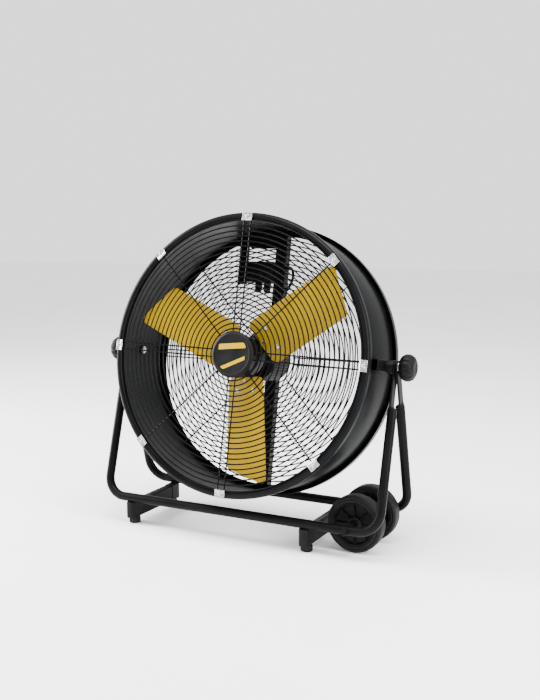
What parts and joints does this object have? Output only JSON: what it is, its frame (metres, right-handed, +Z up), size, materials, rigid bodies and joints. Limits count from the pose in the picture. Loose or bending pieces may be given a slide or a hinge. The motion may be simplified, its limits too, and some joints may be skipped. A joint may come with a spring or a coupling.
{
  "type": "drum fan",
  "caption": "Portable drum fan: a tilting round steel drum with guarded yellow blades in a bent-tube stand with feet and transport wheels.",
  "frame": {"origin": "on the floor, under the middle of the whole fan's bounding box", "axes": "+Z up, +X to the right as seen from the front, and the air leaves towards -Y; the drum is tipped back by 11 degrees about its pivot at rest"},
  "size_m": [0.8242, 0.356, 0.7795],
  "materials": {
    "black_steel": "satin black powder coat",
    "yellow_steel": "glossy yellow paint",
    "zinc_steel": "bright zinc plate",
    "bare_steel": "ground steel",
    "motor_black": "semi-matt black paint",
    "black_plastic": "moulded matt black",
    "capacitor_plastic": "smooth grey can",
    "cable_rubber": "matt black sheath",
    "foot_rubber": "ribbed black rubber",
    "tyre": "solid black tyre"
  },
  "bodies": {
    "stand": {"front_frame_tube": "black_steel", "rear_frame_tube": "black_steel", "left_base_bar": "black_steel", "right_base_bar": "black_steel", "front_left_foot_block": "black_plastic", "rear_left_foot_block": "black_plastic", "front_right_foot_block": "black_plastic", "rear_right_foot_block": "black_plastic", "front_left_rubber_foot": "foot_rubber", "rear_left_rubber_foot": "foot_rubber", "front_right_rubber_foot": "foot_rubber", "rear_right_rubber_foot": "foot_rubber", "wheel_axle": "black_steel", "middle_wheel_spacer": "black_plastic", "front_wheel_spacer": "black_plastic", "rear_wheel_spacer": "black_plastic", "front_axle_nut": "black_steel", "rear_axle_nut": "black_steel", "left_pivot_washer": "zinc_steel", "right_pivot_washer": "zinc_steel"},
    "drum": {"front_guard": "black_steel", "drum_shell": "black_steel", "rear_guard": "black_steel", "motor_beam": "black_steel", "cap_front": "black_plastic", "motor_front_shield": "motor_black", "motor_lead": "cable_rubber", "motor_rear_shield": "motor_black", "cap_back": "black_plastic", "motor_stator": "motor_black", "left_cable_gland": "black_plastic", "right_cable_gland": "black_plastic", "control_box": "black_plastic", "box_strap": "black_steel", "motor_front_bearing": "bare_steel", "motor_rear_bearing": "bare_steel", "left_pivot_spacer": "black_plastic", "right_pivot_spacer": "black_plastic", "left_pivot_bolt": "zinc_steel", "right_pivot_bolt": "zinc_steel", "left_pivot_bracket": "black_steel", "right_pivot_bracket": "black_steel", "control_box_lid": "black_plastic", "switch_body": "black_plastic", "cap_screw": "zinc_steel", "capacitor": "capacitor_plastic"},
    "rotor": {"motor_shaft": "bare_steel", "motor_core": "bare_steel", "rotor_hub": "motor_black", "shaft_nut": "zinc_steel", "blade_1": "yellow_steel", "blade_2": "yellow_steel", "blade_3": "yellow_steel"},
    "switch_knob": {"switch_knob": "black_plastic"},
    "left_knob": {"left_knob": "black_plastic"},
    "right_knob": {"right_knob": "black_plastic"},
    "front_wheel": {"front_wheel_tyre": "tyre", "front_wheel_rim": "black_plastic"},
    "rear_wheel": {"rear_wheel_tyre": "tyre", "rear_wheel_rim": "black_plastic"}
  },
  "joints": [
    {"name": "drum_tilt", "type": "hinge", "parent": "stand", "child": "drum", "pos_m": [0, -0.01162, 0.4305], "axis": [-1, 0, 0], "range_deg": [-101, 79]},
    {"name": "fan_spin", "type": "hinge", "parent": "drum", "child": "rotor", "pos_m": [0, -0.01162, 0.4305], "axis": [0, 0.9816, -0.1908], "continuous": true},
    {"name": "switch_turn", "type": "hinge", "parent": "drum", "child": "switch_knob", "pos_m": [-0.0413, 0.16846, 0.62318], "axis": [0, 0.9816, -0.1908], "range_deg": [0, 180]},
    {"name": "left_knob_turn", "type": "hinge", "parent": "drum", "child": "left_knob", "pos_m": [-0.39, -0.01162, 0.4305], "axis": [-1, 0, 0], "range_deg": [0, 360]},
    {"name": "right_knob_turn", "type": "hinge", "parent": "drum", "child": "right_knob", "pos_m": [0.39, -0.01162, 0.4305], "axis": [1, 0, 0], "range_deg": [0, 360]},
    {"name": "front_wheel_spin", "type": "hinge", "parent": "stand", "child": "front_wheel", "pos_m": [0.291, -0.05762, 0.0685], "axis": [0, 1, 0], "continuous": true},
    {"name": "rear_wheel_spin", "type": "hinge", "parent": "stand", "child": "rear_wheel", "pos_m": [0.291, 0.03838, 0.0685], "axis": [0, 1, 0], "continuous": true}
  ]
}
